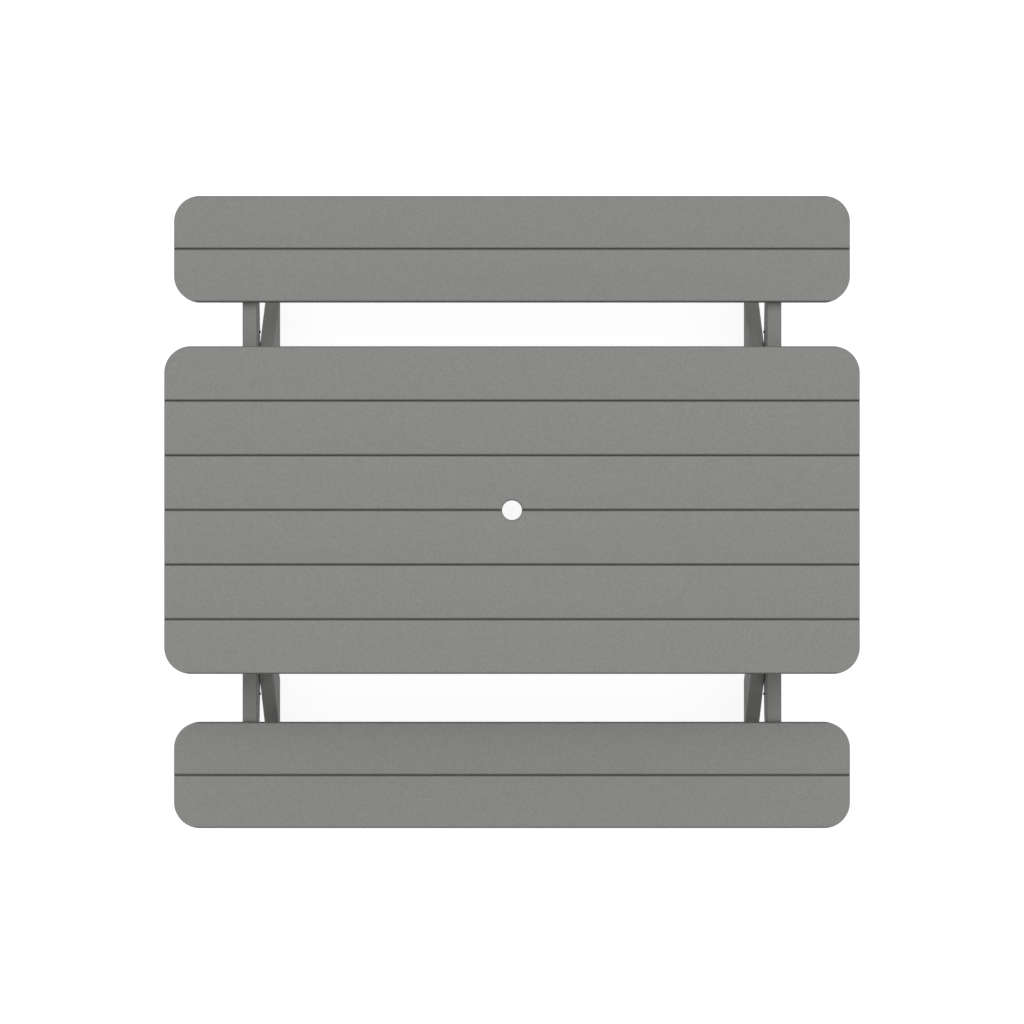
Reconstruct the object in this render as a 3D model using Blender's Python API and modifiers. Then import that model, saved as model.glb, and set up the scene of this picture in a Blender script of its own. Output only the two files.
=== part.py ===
"""Picnic table of recycled-plastic lumber, with two fixed benches and an umbrella hole.

Each end frame is a pair of splayed legs, bolted to a seat beam low down and to a cleat under
the top.  Six boards make the top and two make each bench; they lie on cleats and are screwed
from below, so no fastener shows on a surface that people use.  Two diagonal braces stiffen the
table lengthwise.  The lumber is rounded along its length and cut square at its ends.

Frame: +X along the boards, +Y across the table, +Z up, origin on the ground under the middle of
the top.  Lengths are in metres.
"""
from math import asin, cos, pi, radians, sin, tan

import bmesh
import bpy
from mathutils import Matrix, Vector

TABLE_NAME = "picnic_table"
INCH = 0.0254
GAP = 0.0003  # clearance kept between pieces that touch

# Lumber
LUMBER_T = 1.5 * INCH
BOARD_PITCH = 5.5 * INCH
BOARD_WIDTH = BOARD_PITCH - GAP
BOARD_LENGTH = 70.0 * INCH
CORNER_RADIUS = 2.7 * INCH  # plan corners of the top and of each bench
ARC_STEPS = 6

# Rounding of the lumber's four long edges, as (radius, steps); its cut ends stay square
BOARD_EDGE = (0.25 * INCH, 3)
FRAME_EDGE = (0.125 * INCH, 2)

# Overall
TOP_HEIGHT = 29.5 * INCH
TOP_BOARDS = 6
SEAT_HEIGHT = 17.5 * INCH
SEAT_BOARDS = 2
OVERALL_DEPTH = 65.5 * INCH
UMBRELLA_RADIUS = 1.0 * INCH

TOP_UNDERSIDE = TOP_HEIGHT - LUMBER_T
SEAT_UNDERSIDE = SEAT_HEIGHT - LUMBER_T
SEAT_INNER_Y = OVERALL_DEPTH / 2 - SEAT_BOARDS * BOARD_PITCH

# End frames
FRAME_INNER_X = 25.0 * INCH  # legs from here to FRAME_MID_X, beams and cleats outside them
FRAME_MID_X = FRAME_INNER_X + LUMBER_T
FRAME_OUTER_X = FRAME_MID_X + LUMBER_T
LEG_ANGLE = radians(61.0)
LEG_WIDTH = 5.5 * INCH
FOOT_OUTER_Y = 24.0 * INCH
BEAM_DEPTH = 5.5 * INCH
BEAM_HALF_LENGTH = 32.25 * INCH
BEAM_TAPER_START = 18.2 * INCH
BEAM_TAPER_SLOPE = 0.25
BEAM_BOTTOM = SEAT_UNDERSIDE - BEAM_DEPTH

# Cleats under the top, on edge
CLEAT_DEPTH = 3.5 * INCH
CLEAT_HALF_LENGTH = 16.0 * INCH
CLEAT_CLIP = 1.0 * INCH
CLEAT_BOTTOM = TOP_UNDERSIDE - CLEAT_DEPTH
MID_CLEAT_X = 6.0 * INCH  # inner face of the two cleats that flank the umbrella hole

# Cleats under the benches
SEAT_CLEAT_Y = (22.25 * INCH, 32.25 * INCH)
SEAT_CLEAT_BOTTOM = SEAT_UNDERSIDE - LUMBER_T
SEAT_MID_CLEAT_WIDTH = 3.5 * INCH

# Diagonal braces in the Y = 0 plane; a steel saddle holds each end by the brace's sides
BRACE_WIDTH = 3.5 * INCH
BRACE_LOW_Z = 10.9 * INCH  # lowest corner, against the seat beam
SADDLE_T = 0.003
SADDLE_EAR = 0.052
SADDLE_HEIGHT = 0.040
SADDLE_BEND = 0.005
BEND_STEPS = 3
SADDLE_LOW_Z = 13.6 * INCH
SADDLE_HIGH_Z = 25.3 * INCH
SADDLE_HOLE = 0.032  # from the saddle's back to its bolt
SLOPE_PASSES = 20  # enough for the brace's slope to settle

# Fasteners: (shank radius, head radius, head height)
BOLT = (0.0047, 0.0105, 0.0048)
FACE_SCREW = (0.0019, 0.0032, 0.0038)
HOLE_CLEARANCE = 0.0005
NUT_RADIUS = 0.0083
NUT_HEIGHT = 0.0080
WASHER_RADIUS = 0.0120
WASHER_T = 0.0020
BOLT_END = 0.003  # thread that shows past the nut
FACE_SCREW_LENGTH = 1.0 * INCH
FACE_SCREW_SEAT = (18.98 * INCH, 12.0 * INCH)  # (Y, Z), here and below

# Where the bolts pass through the end frames
BEAM_BOLT_OUTER = (14.9 * INCH, 12.1 * INCH)
BEAM_BOLT_INNER = (11.9 * INCH, 14.4 * INCH)
TOP_BOLT_OUTER = (8.0 * INCH, 25.4 * INCH)
TOP_BOLT_INNER = (5.2 * INCH, 26.9 * INCH)
TURNED_SIDES = 8

# Colours (linear RGB), roughness, metallic
LUMBER_GREY = ((0.235, 0.235, 0.228), 0.62, 0.0)
FRAME_GREY = ((0.215, 0.216, 0.209), 0.62, 0.0)
BLACK_STEEL = ((0.012, 0.012, 0.013), 0.45, 0.9)

# Rotations that lay an outline's local XY plane on a plane of the table
ON_YZ = (radians(90), 0.0, radians(90))
ON_XZ = (radians(90), 0.0, 0.0)
FLAT = (0.0, 0.0, 0.0)

# Directions in a piece's own axes
ALONG_X = (1.0, 0.0, 0.0)
ALONG_Y = (0.0, 1.0, 0.0)
PARALLEL = 0.99999  # cosine of the angle within which two directions count as parallel


# ---------------------------------------------------------------- scene and materials

def clear_scene():
    """Remove every object, so that only the table is left."""
    for obj in list(bpy.data.objects):
        bpy.data.objects.remove(obj, do_unlink=True)


def new_collection(name):
    """Return a collection of that name, linked to the scene."""
    collection = bpy.data.collections.new(name)
    bpy.context.scene.collection.children.link(collection)
    return collection


def make_material(name, finish):
    """Return a Principled material with the colour, roughness and metallic value of a finish."""
    colour, roughness, metallic = finish
    material = bpy.data.materials.new(name)
    material.use_nodes = True
    shader = material.node_tree.nodes["Principled BSDF"]
    shader.inputs["Base Color"].default_value = (*colour, 1.0)
    shader.inputs["Roughness"].default_value = roughness
    shader.inputs["Metallic"].default_value = metallic
    material.diffuse_color = (*colour, 1.0)
    return material


def add_part(name, mesh, finish, location=(0.0, 0.0, 0.0), rotation=FLAT):
    """Make one named piece of the table from a mesh and parent it to the table's empty."""
    obj = bpy.data.objects.new(name, mesh)
    mesh.name = name
    mesh.materials.clear()
    mesh.materials.append(make_material(name + "_finish", finish))
    obj.location = location
    obj.rotation_euler = rotation
    obj.parent = TABLE
    PARTS.objects.link(obj)
    return obj


# ---------------------------------------------------------------- mesh helpers

def shade_round(mesh):
    """Shade smooth, but keep edges sharper than 40 degrees crisp."""
    mesh.shade_smooth()
    mesh.set_sharp_from_angle(angle=radians(40))


def evaluated_mesh(obj):
    """Return a copy of the object's evaluated mesh and remove the object."""
    bpy.context.view_layer.update()
    graph = bpy.context.evaluated_depsgraph_get()
    mesh = bpy.data.meshes.new_from_object(obj.evaluated_get(graph))
    bpy.data.objects.remove(obj, do_unlink=True)
    return mesh


def slab_mesh(outline, thickness):
    """Return a closed plate: a flat outline, thickened equally to both sides."""
    curve = bpy.data.curves.new("outline", "CURVE")
    curve.dimensions = "2D"
    curve.fill_mode = "BOTH"
    curve.extrude = thickness / 2
    spline = curve.splines.new("POLY")
    spline.points.add(len(outline) - 1)
    for point, (x, y) in zip(spline.points, outline):
        point.co = (x, y, 0.0, 1.0)
    spline.use_cyclic_u = True
    obj = bpy.data.objects.new("outline", curve)
    bpy.context.scene.collection.objects.link(obj)
    mesh = evaluated_mesh(obj)
    bpy.data.curves.remove(curve)

    bm = bmesh.new()
    bm.from_mesh(mesh)
    bmesh.ops.remove_doubles(bm, verts=bm.verts, dist=1e-6)
    bmesh.ops.dissolve_limit(bm, angle_limit=radians(1), verts=bm.verts, edges=bm.edges)
    bmesh.ops.recalc_face_normals(bm, faces=bm.faces)
    bm.to_mesh(mesh)
    bm.free()
    shade_round(mesh)
    return mesh


def block_mesh(size):
    """Return a box of that size, centred on its origin."""
    mesh = bpy.data.meshes.new("block")
    bm = bmesh.new()
    bmesh.ops.create_cube(bm, size=1.0)
    bmesh.ops.scale(bm, vec=size, verts=bm.verts)
    bm.to_mesh(mesh)
    bm.free()
    shade_round(mesh)
    return mesh


def turned_mesh(profile):
    """Return a turned shape: a profile of (radius, height), top to bottom, spun about Z."""
    mesh = bpy.data.meshes.new("profile")
    edges = [(i, i + 1) for i in range(len(profile) - 1)]
    mesh.from_pydata([(radius, 0.0, height) for radius, height in profile], edges, [])
    obj = bpy.data.objects.new("profile", mesh)
    bpy.context.scene.collection.objects.link(obj)
    screw = obj.modifiers.new("Screw", "SCREW")
    screw.axis = "Z"
    screw.angle = 2 * pi
    screw.steps = TURNED_SIDES
    screw.render_steps = TURNED_SIDES
    screw.use_merge_vertices = True
    screw.merge_threshold = 0.00002
    turned = evaluated_mesh(obj)
    bpy.data.meshes.remove(mesh)
    shade_round(turned)
    return turned


def round_long_edges(obj, grain, rounding):
    """Round over the edges of a stick that run along its grain, a direction in its own axes."""
    radius, steps = rounding
    mesh = obj.data
    along = Vector(grain).normalized()
    weights = mesh.attributes.new("bevel_weight_edge", "FLOAT", "EDGE")
    for edge, weight in zip(mesh.edges, weights.data):
        start, end = (mesh.vertices[i].co for i in edge.vertices)
        parallel = abs((end - start).normalized().dot(along)) > PARALLEL
        weight.value = 1.0 if parallel else 0.0
    bevel = obj.modifiers.new("Rounded edges", "BEVEL")
    bevel.width = radius
    bevel.segments = steps
    bevel.limit_method = "WEIGHT"
    bevel.use_clamp_overlap = False


# ---------------------------------------------------------------- fasteners and their holes

def united_mesh(first, second):
    """Return the union of two meshes that overlap."""
    objects = []
    for mesh in (first, second):
        obj = bpy.data.objects.new("piece", mesh)
        bpy.context.scene.collection.objects.link(obj)
        objects.append(obj)
    union = objects[0].modifiers.new("Union", "BOOLEAN")
    union.operation = "UNION"
    union.solver = "EXACT"
    union.object = objects[1]
    mesh = evaluated_mesh(objects[0])
    bpy.data.objects.remove(objects[1], do_unlink=True)
    shade_round(mesh)
    return mesh


def bolt_mesh(grip):
    """Return a domed bolt with its washer and nut run up, seated at height 0, shank downwards."""
    shank, head, height = BOLT
    washer_top = -grip - GAP
    washer_bottom = washer_top - WASHER_T
    nut_bottom = washer_bottom - NUT_HEIGHT
    end = nut_bottom - BOLT_END
    turned = turned_mesh([
        (0.0, height),
        (head * 0.72, height * 0.80),
        (head, GAP),
        (shank, GAP),
        (shank, washer_top),
        (WASHER_RADIUS, washer_top),
        (WASHER_RADIUS, washer_bottom),
        (shank, washer_bottom),
        (shank, end + shank / 4),
        (shank * 0.75, end),
        (0.0, end),
    ])
    nut = bpy.data.meshes.new("nut")
    bm = bmesh.new()
    nut_top = washer_bottom + WASHER_T / 2
    centre = Matrix.Translation((0.0, 0.0, (nut_top + nut_bottom) / 2))
    bmesh.ops.create_cone(
        bm,
        cap_ends=True,
        segments=6,
        radius1=NUT_RADIUS,
        radius2=NUT_RADIUS,
        depth=nut_top - nut_bottom,
        matrix=centre,
    )
    bm.to_mesh(nut)
    bm.free()
    return united_mesh(turned, nut), -end


def screw_mesh(fastener, length):
    """Return a headed screw with a point, seated at height 0, shank downwards."""
    shank, head, height = fastener
    return turned_mesh([
        (0.0, height),
        (head * 0.8, height),
        (head, height * 0.7),
        (head, GAP),
        (shank, GAP),
        (shank, 2 * shank - length),
        (0.0, -length),
    ])


def add_fastener(name, mesh, seat, direction, shank_radius, length):
    """Seat a fastener at a point with its shank along a direction, and note it for drilling."""
    turn = Vector(direction).to_track_quat("-Z", "Y")
    add_part(name, mesh.copy(), BLACK_STEEL, seat, turn.to_euler())
    matrix = Matrix.Translation(seat) @ turn.to_matrix().to_4x4()
    SHANKS.append((matrix, shank_radius, length))


def drill(obj):
    """Bore the piece wherever a fastener's shank crosses its bounding box."""
    corners = [obj.matrix_world @ Vector(corner) for corner in obj.bound_box]
    low = [min(corner[i] for corner in corners) for i in range(3)]
    high = [max(corner[i] for corner in corners) for i in range(3)]
    bores = bmesh.new()
    for matrix, radius, length in SHANKS:
        ends = (matrix @ Vector((0.0, 0.0, 0.0)), matrix @ Vector((0.0, 0.0, -length)))
        reach = [
            min(end[i] for end in ends) - radius < high[i] and max(end[i] for end in ends) + radius > low[i]
            for i in range(3)
        ]
        if all(reach):
            wide = radius + HOLE_CLEARANCE
            deep = length + HOLE_CLEARANCE
            mouth = GAP
            bore = turned_mesh([(0.0, mouth), (wide, mouth), (wide, -deep), (0.0, -deep)])
            bore.transform(matrix)
            bores.from_mesh(bore)
            bpy.data.meshes.remove(bore)
    if bores.verts:
        mesh = bpy.data.meshes.new(obj.name + "_bores")
        bores.to_mesh(mesh)
        cutter = bpy.data.objects.new(mesh.name, mesh)
        cutter.hide_render = True
        cutter.display_type = "WIRE"
        CUTTERS.objects.link(cutter)
        cut = obj.modifiers.new("Bores", "BOOLEAN")
        cut.operation = "DIFFERENCE"
        cut.solver = "EXACT"
        cut.object = cutter
    bores.free()


# ---------------------------------------------------------------- boards

def board_outline(rounded_side, notch_side):
    """Return a board's plan outline, anticlockwise, centred on the board.

    rounded_side is +1 or -1 where that long side's two corners are rounded, or 0.
    notch_side is +1 or -1 where that long side holds half of the umbrella hole, or 0.
    """
    half_x = BOARD_LENGTH / 2
    half_y = BOARD_WIDTH / 2
    points = []
    for sx, sy, start in ((1, -1, -pi / 2), (1, 1, 0.0), (-1, 1, pi / 2), (-1, -1, pi)):
        if sy == rounded_side:
            for i in range(ARC_STEPS + 1):
                angle = start + pi / 2 * i / ARC_STEPS
                x = sx * (half_x - CORNER_RADIUS) + CORNER_RADIUS * cos(angle)
                y = sy * (half_y - CORNER_RADIUS) + CORNER_RADIUS * sin(angle)
                points.append((x, y))
        else:
            points.append((sx * half_x, sy * half_y))
        if sx == sy == notch_side:
            points += notch_points(notch_side, half_y)
    return points


def notch_points(side, half_y):
    """Return the half circle that the umbrella hole takes from one side of a board."""
    start = asin((BOARD_PITCH / 2 - half_y) / UMBRELLA_RADIUS)
    steps = 2 * ARC_STEPS
    points = []
    for i in range(steps + 1):
        angle = start + (pi - 2 * start) * i / steps
        x = UMBRELLA_RADIUS * cos(angle)
        y = BOARD_PITCH / 2 - UMBRELLA_RADIUS * sin(angle)
        points.append((side * x, side * y))
    return points


def add_board(name, centre_y, upper_z, rounded_side=0, notch_side=0):
    """Lay one board along X."""
    mesh = slab_mesh(board_outline(rounded_side, notch_side), LUMBER_T)
    board = add_part(name, mesh, LUMBER_GREY, (0.0, centre_y, upper_z - LUMBER_T / 2))
    round_long_edges(board, ALONG_X, BOARD_EDGE)


def top_board_y(index):
    """Return the middle of a top board, counted from -Y."""
    return (index - (TOP_BOARDS - 1) / 2) * BOARD_PITCH


def seat_board_y(side, index):
    """Return the middle of a bench board, counted outwards from the table's middle."""
    return side * (SEAT_INNER_Y + (index + 0.5) * BOARD_PITCH)


def build_top():
    """Lay the six boards of the top; the middle two share the umbrella hole."""
    for index in range(TOP_BOARDS):
        rounded = {0: -1, TOP_BOARDS - 1: 1}.get(index, 0)
        notch = {TOP_BOARDS // 2 - 1: 1, TOP_BOARDS // 2: -1}.get(index, 0)
        add_board(f"top_board_{index + 1}", top_board_y(index), TOP_HEIGHT, rounded, notch)


def build_benches():
    """Lay two boards for each bench, with all four corners of a bench rounded."""
    for side, where in SIDES:
        for index, place in enumerate(("inner", "outer")):
            rounded = side if place == "outer" else -side
            add_board(f"bench_board_{where}_{place}", seat_board_y(side, index), SEAT_HEIGHT, rounded)


# ---------------------------------------------------------------- frames

def leg_y(z):
    """Return how far out a leg's outer edge is at a height."""
    return FOOT_OUTER_Y - z / tan(LEG_ANGLE)


def build_legs():
    """Stand four splayed legs, their feet and tops cut level."""
    height = TOP_UNDERSIDE - GAP
    across = LEG_WIDTH / sin(LEG_ANGLE)
    for end, end_name in ENDS:
        for side, side_name in SIDES:
            outline = [
                (side * leg_y(0.0), 0.0),
                (side * leg_y(height), height),
                (side * (leg_y(height) - across), height),
                (side * (leg_y(0.0) - across), 0.0),
            ]
            x = end * (FRAME_INNER_X + FRAME_MID_X - GAP) / 2
            mesh = slab_mesh(outline, LUMBER_T - GAP)
            leg = add_part(f"leg_{end_name}_{side_name}", mesh, FRAME_GREY, (x, 0.0, 0.0), ON_YZ)
            grain = (-side * cos(LEG_ANGLE), sin(LEG_ANGLE), 0.0)
            round_long_edges(leg, grain, FRAME_EDGE)


def build_seat_beams():
    """Hang a beam on the outside of each pair of legs; it carries both benches."""
    top = SEAT_UNDERSIDE - GAP
    tip = BEAM_BOTTOM + (BEAM_HALF_LENGTH - BEAM_TAPER_START) * BEAM_TAPER_SLOPE
    outline = [
        (-BEAM_TAPER_START, BEAM_BOTTOM),
        (BEAM_TAPER_START, BEAM_BOTTOM),
        (BEAM_HALF_LENGTH, tip),
        (BEAM_HALF_LENGTH, top),
        (-BEAM_HALF_LENGTH, top),
        (-BEAM_HALF_LENGTH, tip),
    ]
    for end, end_name in ENDS:
        x = end * (FRAME_MID_X + FRAME_OUTER_X) / 2
        mesh = slab_mesh(outline, LUMBER_T)
        beam = add_part(f"seat_beam_{end_name}", mesh, FRAME_GREY, (x, 0.0, 0.0), ON_YZ)
        round_long_edges(beam, ALONG_X, FRAME_EDGE)


def build_top_cleats():
    """Fix four cleats on edge under the top: one at each end frame and two by the hole."""
    top = TOP_UNDERSIDE - GAP
    outline = []
    for side in (-1, 1):
        lower = (side * (CLEAT_HALF_LENGTH - CLEAT_CLIP), CLEAT_BOTTOM)
        clipped = (side * CLEAT_HALF_LENGTH, CLEAT_BOTTOM + CLEAT_CLIP)
        upper = (side * CLEAT_HALF_LENGTH, top)
        outline += [lower, clipped, upper][::side]
    for inner_x, kind in ((FRAME_MID_X, "end"), (MID_CLEAT_X, "middle")):
        for end, end_name in ENDS:
            x = end * (inner_x + LUMBER_T / 2)
            mesh = slab_mesh(outline, LUMBER_T)
            cleat = add_part(f"top_cleat_{kind}_{end_name}", mesh, FRAME_GREY, (x, 0.0, 0.0), ON_YZ)
            round_long_edges(cleat, ALONG_X, FRAME_EDGE)


def build_seat_cleats():
    """Fix a square cleat under each bench end, and a flat one under each bench's middle."""
    low, high = SEAT_CLEAT_Y
    depth = LUMBER_T - GAP
    z = SEAT_CLEAT_BOTTOM + depth / 2
    for side, side_name in SIDES:
        y = side * (low + high) / 2
        for end, end_name in ENDS:
            x = end * (FRAME_INNER_X + depth / 2)
            mesh = block_mesh((depth, high - low, depth))
            cleat = add_part(f"bench_cleat_{end_name}_{side_name}", mesh, FRAME_GREY, (x, y, z))
            round_long_edges(cleat, ALONG_Y, FRAME_EDGE)
        mesh = block_mesh((SEAT_MID_CLEAT_WIDTH, high - low, depth))
        cleat = add_part(f"bench_cleat_middle_{side_name}", mesh, FRAME_GREY, (0.0, y, z))
        round_long_edges(cleat, ALONG_Y, FRAME_EDGE)


def brace_outline(end):
    """Return a brace's outline in the XZ plane: both ends cut upright."""
    low_x = FRAME_MID_X - SADDLE_T - 2 * GAP
    high_x = MID_CLEAT_X + LUMBER_T + SADDLE_T + 2 * GAP
    run = low_x - high_x
    top = TOP_UNDERSIDE - GAP
    rise = top - BRACE_LOW_Z
    # The upright cut is BRACE_WIDTH / cos(slope) tall, and the slope depends on that cut.
    cut = BRACE_WIDTH
    for _ in range(SLOPE_PASSES):
        slope = (rise - cut) / run
        cut = BRACE_WIDTH * (1 + slope * slope) ** 0.5
    return [
        (end * low_x, BRACE_LOW_Z),
        (end * low_x, BRACE_LOW_Z + cut),
        (end * high_x, top),
        (end * high_x, top - cut),
    ]


def build_braces():
    """Run a brace from each seat beam up to the nearer middle cleat."""
    for end, end_name in ENDS:
        outline = brace_outline(end)
        (low_x, low_z), (high_x, high_z) = outline[1:3]
        mesh = slab_mesh(outline, LUMBER_T)
        brace = add_part(f"brace_{end_name}", mesh, FRAME_GREY, FLAT, ON_XZ)
        round_long_edges(brace, (high_x - low_x, high_z - low_z, 0.0), FRAME_EDGE)


def saddle_outline():
    """Return a saddle's plan outline: its back lies on X = 0 and its ears reach towards -X."""
    inner = LUMBER_T / 2 + GAP
    outer = inner + SADDLE_T
    points = []
    for sy, start in ((-1, -pi / 2), (1, 0.0)):
        bend = []
        for i in range(BEND_STEPS + 1):
            angle = start + pi / 2 * i / BEND_STEPS
            x = -SADDLE_BEND + SADDLE_BEND * cos(angle)
            y = sy * (outer - SADDLE_BEND) + SADDLE_BEND * sin(angle)
            bend.append((x, y))
        tip = [(-SADDLE_EAR, sy * outer)]
        points += tip + bend if sy < 0 else bend + tip
    points += [
        (-SADDLE_EAR, inner),
        (-SADDLE_T, inner),
        (-SADDLE_T, -inner),
        (-SADDLE_EAR, -inner),
    ]
    return points


def brace_ends():
    """Return (name, back plane, height, direction of the back) for each end of each brace."""
    places = []
    for end, end_name in ENDS:
        places.append((f"{end_name}_lower", end * (FRAME_MID_X - GAP), SADDLE_LOW_Z, end))
        upper_x = MID_CLEAT_X + LUMBER_T + GAP
        places.append((f"{end_name}_upper", end * upper_x, SADDLE_HIGH_Z, -end))
    return places


def build_saddles():
    """Put a steel saddle round each end of each brace."""
    for name, x, z, facing in brace_ends():
        turn = (0.0, 0.0, 0.0 if facing > 0 else pi)
        mesh = slab_mesh(saddle_outline(), SADDLE_HEIGHT)
        add_part(f"brace_saddle_{name}", mesh, BLACK_STEEL, (x, 0.0, z), turn)


# ---------------------------------------------------------------- fastening

def bolt_frames():
    """Bolt each leg to its seat beam and top cleat, and each bench cleat to its beam."""
    grip = FRAME_OUTER_X - FRAME_INNER_X
    mesh, length = bolt_mesh(grip)
    seat_cleat_z = SEAT_CLEAT_BOTTOM + LUMBER_T / 2
    holes = (
        ("beam_bolt_outer", BEAM_BOLT_OUTER),
        ("beam_bolt_inner", BEAM_BOLT_INNER),
        ("top_bolt_outer", TOP_BOLT_OUTER),
        ("top_bolt_inner", TOP_BOLT_INNER),
        ("bench_bolt", (SEAT_INNER_Y + BOARD_PITCH, seat_cleat_z)),
    )
    for kind, (y, z) in holes:
        for end, end_name in ENDS:
            for side, side_name in SIDES:
                seat = (end * FRAME_OUTER_X, side * y, z)
                name = f"{kind}_{end_name}_{side_name}"
                add_fastener(name, mesh, seat, (-end, 0.0, 0.0), BOLT[0], length)


def bolt_braces():
    """Bolt each saddle through its brace, from the back of the table to the front."""
    y = LUMBER_T / 2 + GAP + SADDLE_T
    mesh, length = bolt_mesh(2 * y)
    for name, x, z, facing in brace_ends():
        seat = (x - facing * SADDLE_HOLE, y, z)
        add_fastener(f"brace_bolt_{name}", mesh, seat, (0.0, -1.0, 0.0), BOLT[0], length)


def screw_beam_faces():
    """Drive a small black screw into each seat beam's inner face, just outside each leg."""
    mesh = screw_mesh(FACE_SCREW, FACE_SCREW_LENGTH)
    y, z = FACE_SCREW_SEAT
    for end, end_name in ENDS:
        for side, side_name in SIDES:
            seat = (end * FRAME_MID_X, side * y, z)
            name = f"beam_screw_{end_name}_{side_name}"
            add_fastener(name, mesh, seat, (end, 0.0, 0.0), FACE_SCREW[0], FACE_SCREW_LENGTH)


# ---------------------------------------------------------------- build

ENDS = ((-1, "left"), (1, "right"))
SIDES = ((-1, "front"), (1, "back"))
SHANKS = []

clear_scene()
PARTS = new_collection(TABLE_NAME)
CUTTERS = new_collection("cutters")
TABLE = bpy.data.objects.new(TABLE_NAME, None)
PARTS.objects.link(TABLE)

build_top()
build_benches()
build_legs()
build_seat_beams()
build_top_cleats()
build_seat_cleats()
build_braces()
build_saddles()
drilled = [obj for obj in PARTS.objects if obj.type == "MESH"]

bolt_frames()
bolt_braces()
screw_beam_faces()

bpy.context.view_layer.update()
for piece in drilled:
    drill(piece)
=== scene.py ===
"""Grey plastic-lumber picnic table: its lumber, hardware and surfaces, built round the frame.

Frame: +X along the boards, +Y across the table, +Z up, origin on the ground.  Metres.
"""

import logging
import math
from dataclasses import dataclass
from enum import Enum
from typing import Dict, Iterable, List, Optional, Sequence, Tuple

import bmesh
import bpy
from mathutils import Matrix, Vector


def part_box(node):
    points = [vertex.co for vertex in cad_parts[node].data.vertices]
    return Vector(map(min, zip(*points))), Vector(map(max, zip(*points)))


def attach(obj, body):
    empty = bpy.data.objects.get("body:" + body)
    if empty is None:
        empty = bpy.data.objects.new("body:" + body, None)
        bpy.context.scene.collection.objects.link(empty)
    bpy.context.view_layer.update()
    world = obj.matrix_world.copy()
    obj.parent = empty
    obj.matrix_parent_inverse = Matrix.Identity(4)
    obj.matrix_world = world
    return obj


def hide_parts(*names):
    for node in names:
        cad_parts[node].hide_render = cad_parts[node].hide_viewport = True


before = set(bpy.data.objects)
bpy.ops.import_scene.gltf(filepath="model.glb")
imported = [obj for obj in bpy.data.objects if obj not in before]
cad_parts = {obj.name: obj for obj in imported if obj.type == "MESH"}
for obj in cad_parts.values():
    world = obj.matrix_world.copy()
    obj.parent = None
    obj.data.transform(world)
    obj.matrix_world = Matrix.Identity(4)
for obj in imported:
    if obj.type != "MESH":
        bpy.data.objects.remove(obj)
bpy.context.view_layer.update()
BODY = "root"
INCH = 0.0254

CREASE = 32.0  # edges sharper than this many degrees stay crisp
BEVEL_FROM = 30.0  # edges sharper than this many degrees are eased
SAME_POINT = 1e-6

log = logging.getLogger("picnic_table")

Point = Tuple[float, float]
Triple = Tuple[float, float, float]

ENDS = (("left", -1), ("right", 1))
SIDES = (("front", -1), ("back", 1))


# ------------------------------------------------------------------ shader node groups

def new_group(name: str, inputs: Sequence[Tuple[str, str, float]],
              outputs: Sequence[Tuple[str, str]]) -> bpy.types.NodeTree:
    """Start a shader node group with named sockets.

    Args:
        name: The group's name.
        inputs: Each input's name, kind ("Float" or "Vector") and value.
        outputs: Each output's name and kind.

    Returns:
        The group, with its input and output nodes in place.
    """
    group = bpy.data.node_groups.new(name, "ShaderNodeTree")
    for label, kind, value in inputs:
        socket = group.interface.new_socket(label, in_out="INPUT", socket_type=f"NodeSocket{kind}")
        if kind == "Float":
            socket.default_value = value
    for label, kind in outputs:
        group.interface.new_socket(label, in_out="OUTPUT", socket_type=f"NodeSocket{kind}")
    group.nodes.new("NodeGroupInput").name = "In"
    group.nodes.new("NodeGroupOutput").name = "Out"
    return group


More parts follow.
